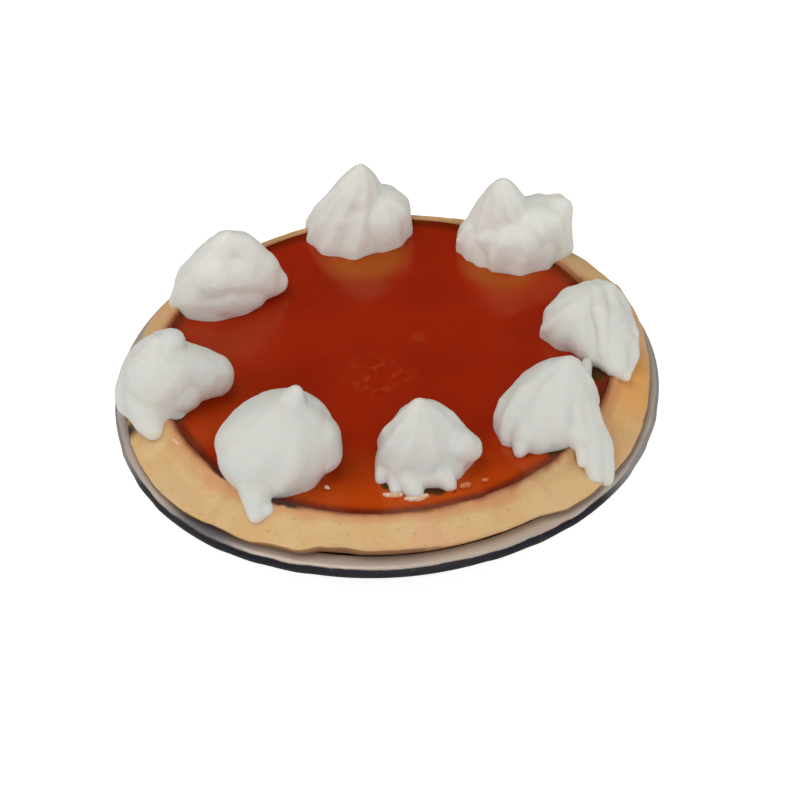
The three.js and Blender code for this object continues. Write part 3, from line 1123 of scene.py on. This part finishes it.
# %% Custard finish
CUSTARD = (0.375, 0.0125, 0.0003)
CUSTARD_DEEP = (0.33, 0.0100, 0.0003)
CUSTARD_PALE = (0.52, 0.053, 0.0012)
CUSTARD_TORN = (0.44, 0.060, 0.014)
CUSTARD_EDGE = (0.15, 0.006, 0.0003)
CUSTARD_CREAM_REFLECTION = (0.38, 0.062, 0.005)
CUSTARD_SHADOW = (0.045, 0.012, 0.002)
WARM_GLOSS = (1.0, 0.55, 0.02, 1)
PALE_LEFT = (-80, -28, 41, 40)
TORN_MIDDLE = (-3, -8, 41, 20)
TORN_BUBBLE = (0.4, -17.7, 41, 2.6)
FAINT_BUBBLE = (15.5, 15.6, 41, 5)
EDGE_RINGS = (92.5, 98.0)
# Painted reflections of the two back dollops in the glossy custard.
CREAM_REFLECTIONS = [(-5, 75, 41, 24), (56.5, 61, 41, 23)]
# Painted shadows on the custard under and between the dollops.
SHADOWS_BY_DOLLOPS = [
    (91.3, -17.1, 41, 7), (69.9, -66.5, 41, 5.5), (15.0, -84.5, 41, 5), (19.0, -85.5, 41, 5),
    (-2.2, -80.6, 41, 4), (-91.3, -25.8, 41, 7),
]

filling_finish, tree, shader, place = start_finish("set_custard", 0.14)
color = mix(tree, blotches(tree, place, 35, 0.4, 0.65), CUSTARD, CUSTARD_DEEP)
near = ramp(tree, use(tree, where, Place=place)["Back"], -45, -88)
near = larger(tree, near, spot_set(tree, place, 0.4, [PALE_LEFT]))
color = mix(tree, near, color, CUSTARD_PALE)

torn = times(tree, blotches(tree, place, 5, 0.5, 0.64), spot_mask(tree, place, *TORN_MIDDLE))
torn = larger(tree, torn, spot_mask(tree, place, *TORN_BUBBLE))
torn = larger(tree, torn, spot_set(tree, place, 0.6, [FAINT_BUBBLE]))
color = mix(tree, times(tree, torn, 0.6), color, CUSTARD_TORN)

uneven = blotches(tree, place, 7, 0.2, 0.8)
edge_line = plus(tree, painted(tree, "ring"), times(tree, uneven, 1.2))
# A thin dark line along the pastry: partly caramel, partly painted shade under the pastry's lip.
color = mix(tree, ramp(tree, edge_line, *EDGE_RINGS), color, CUSTARD_EDGE)
# Painted reflection of cream at the feet of the back dollops.
color = mix(tree, spot_set(tree, place, 1.8, CREAM_REFLECTIONS), color, CUSTARD_CREAM_REFLECTION)
# Painted shadows under the overhangs of the dollops and between them.
color = mix(tree, spot_set(tree, place, 1.5, SHADOWS_BY_DOLLOPS), color, CUSTARD_SHADOW)
tree.links.new(color, shader.inputs["Base Color"])

shader.inputs["Specular IOR Level"].default_value = 0.6
shader.inputs["Specular Tint"].default_value = WARM_GLOSS
dull = blotches(tree, place, 14, 0.35, 0.7)
tree.links.new(ramp(tree, dull, 0.0, 1.0, 0.18, 0.26), shader.inputs["Roughness"])
relief(tree, shader, grained(tree, place, 3.5, 0.1), 0.04)
print(filling_finish.name, "has", len(tree.nodes), "nodes")

# %% [markdown]
# ** Whipped cream** is white with a breath of yellow, and light goes a little way into it, which the
# shader's subsurface gives. It is a little lighter towards the back of the pie, as painted light on the
# back dollops. Tiny bubbles roughen its skin.

# %% Cream finish
CREAM = (0.755, 0.77, 0.735)
CREAM_COOL = (0.735, 0.765, 0.755)
CREAM_PAINTED_LIGHT = (0.825, 0.845, 0.815)

cream_finish, tree, shader, place = start_finish("whipped_cream", 0.5)
color = mix(tree, blotches(tree, place, 9, 0.4, 0.62), CREAM, CREAM_COOL)
# Painted light: the cream is lighter towards the back of the pie.
painted_light = ramp(tree, use(tree, where, Place=place)["Back"], -35, 45)
color = mix(tree, painted_light, color, CREAM_PAINTED_LIGHT)
tree.links.new(color, shader.inputs["Base Color"])
shader.inputs["Subsurface Weight"].default_value = 0.5
shader.inputs["Subsurface Radius"].default_value = (1.0, 0.8, 0.6)
shader.inputs["Subsurface Scale"].default_value = 4 * MM
froth = grained(tree, place, 1.1, 0.4)
tree.links.new(ramp(tree, froth, 0.2, 0.8, 0.4, 0.6), shader.inputs["Roughness"])
relief(tree, shader, froth, 0.12)
print(cream_finish.name, "has", len(tree.nodes), "nodes")

# %% [markdown]
# Where cream is only a film, the custard or the crust beneath shows through it. Light in so thin a layer
# is dear to work out, so the marks get a tint in patches instead.

# %% Thin cream finish
FILM = (0.80, 0.62, 0.50)
FILM_TINTED = (0.80, 0.47, 0.33)
FILM_FAINT = (0.66, 0.19, 0.08)
FAINT_MARKS = (35, -83.5, 41, 11)

film_finish, tree, shader, place = start_finish("thin_cream", 0.45)
color = mix(tree, blotches(tree, place, 3, 0.4, 0.6), FILM, FILM_TINTED)
color = mix(tree, spot_set(tree, place, 2.0, [FAINT_MARKS]), color, FILM_FAINT)
tree.links.new(color, shader.inputs["Base Color"])
relief(tree, shader, grained(tree, place, 1.1, 0.4), 0.1)
print(film_finish.name, "has", len(tree.nodes), "nodes")

# %% [markdown]
# ** Tin** is bright worn metal on top of its flange, where cutters and cloths have rubbed it, and the
# warm tint there is partly a painted reflection of the pastry. Its rolled bead and its outside are
# painted near-black and blue on the front side, as shade and a dark reflection, and are pale and grey
# on the other.

# %% Tin finish
# Worn metal, its warm tint partly a painted reflection of the pastry.
TIN_BRIGHT = (0.57, 0.49, 0.43)
TIN_SHADE = (0.17, 0.16, 0.17)
TIN_PALE = (0.30, 0.29, 0.295)
# Painted shade and dark reflection for the bead and outside.
TIN_DARK = (0.007, 0.007, 0.014)
TIN_LESS_DARK = (0.03, 0.03, 0.042)
BRIGHT_HEIGHTS = (FLANGE_TOP - 0.8, FLANGE_TOP - 0.35)
# Painted shade on the flange at the front left, under the border's edge.
SHADED_CORNER = (-81, -84, 28, 30)
# The front of the pie, on whose side the bead and outside are painted dark.
# A thousand long, because the radius it is divided by is in millimetres.
TOWARDS_FRONT = (-139, -990, 0)

tin_finish, tree, shader, place = start_finish("tin_painted_shade", 0.35)
spot = use(tree, where, Place=place)
wear = blotches(tree, place, 12, 0.3, 0.75)
bright = ramp(tree, plus(tree, spot["Height"], times(tree, wear, 0.35)), *BRIGHT_HEIGHTS)
# Painted shade and dark reflection on the bead and outside, strongest on the front side.
dark_shade = mix(tree, blotches(tree, place, 5, 0.55, 0.8), TIN_DARK, TIN_LESS_DARK)
ahead = add(tree, "ShaderNodeVectorMath", {0: place, 1: TOWARDS_FRONT}, operation="DOT_PRODUCT")
facing = math_node(tree, "DIVIDE", ahead.outputs["Value"], spot["Radius"])
shaded_front = ramp(tree, facing, 0.4, 0.6)
outside = mix(tree, shaded_front, TIN_PALE, dark_shade)
# Painted shade darkens the flange top at the front left.
top = mix(tree, spot_mask(tree, place, *SHADED_CORNER), TIN_BRIGHT, TIN_SHADE)
tree.links.new(mix(tree, bright, outside, top), shader.inputs["Base Color"])

metal = larger(tree, bright, math_node(tree, "SUBTRACT", 1.0, shaded_front))
tree.links.new(times(tree, metal, 0.3), shader.inputs["Metallic"])
rubbed = blotches(tree, place, 3, 0.3, 0.7)
tree.links.new(ramp(tree, rubbed, 0.0, 1.0, 0.4, 0.55), shader.inputs["Roughness"])
shader.inputs["Specular IOR Level"].default_value = 0.3
relief(tree, shader, grained(tree, place, 2.0, 0.2), 0.03)
print(tin_finish.name, "has", len(tree.nodes), "nodes")

# %% [markdown]
# ## Dressing the pieces
#
# A turned piece is shaded smooth only where its faces meet at less than fifty degrees, so that its sharp
# folds stay crisp. The cream was made smooth all over when it was piped, and only needs its finish.

# %% Dressing the pieces
FOLD = math.radians(50)
turned = [(tin, tin_finish), (pastry, pastry_finish), (filling, filling_finish)]
piped = [*[(d, cream_finish) for d in dollops], (smears_and_glints, film_finish)]

for obj, finish in turned + piped:
    obj.data.materials.clear()
    obj.data.materials.append(finish)
for obj, finish in turned:
    only(obj)
    bpy.ops.object.shade_smooth_by_angle(angle=FOLD)
print("dressed:", len(turned + piped), "pieces")
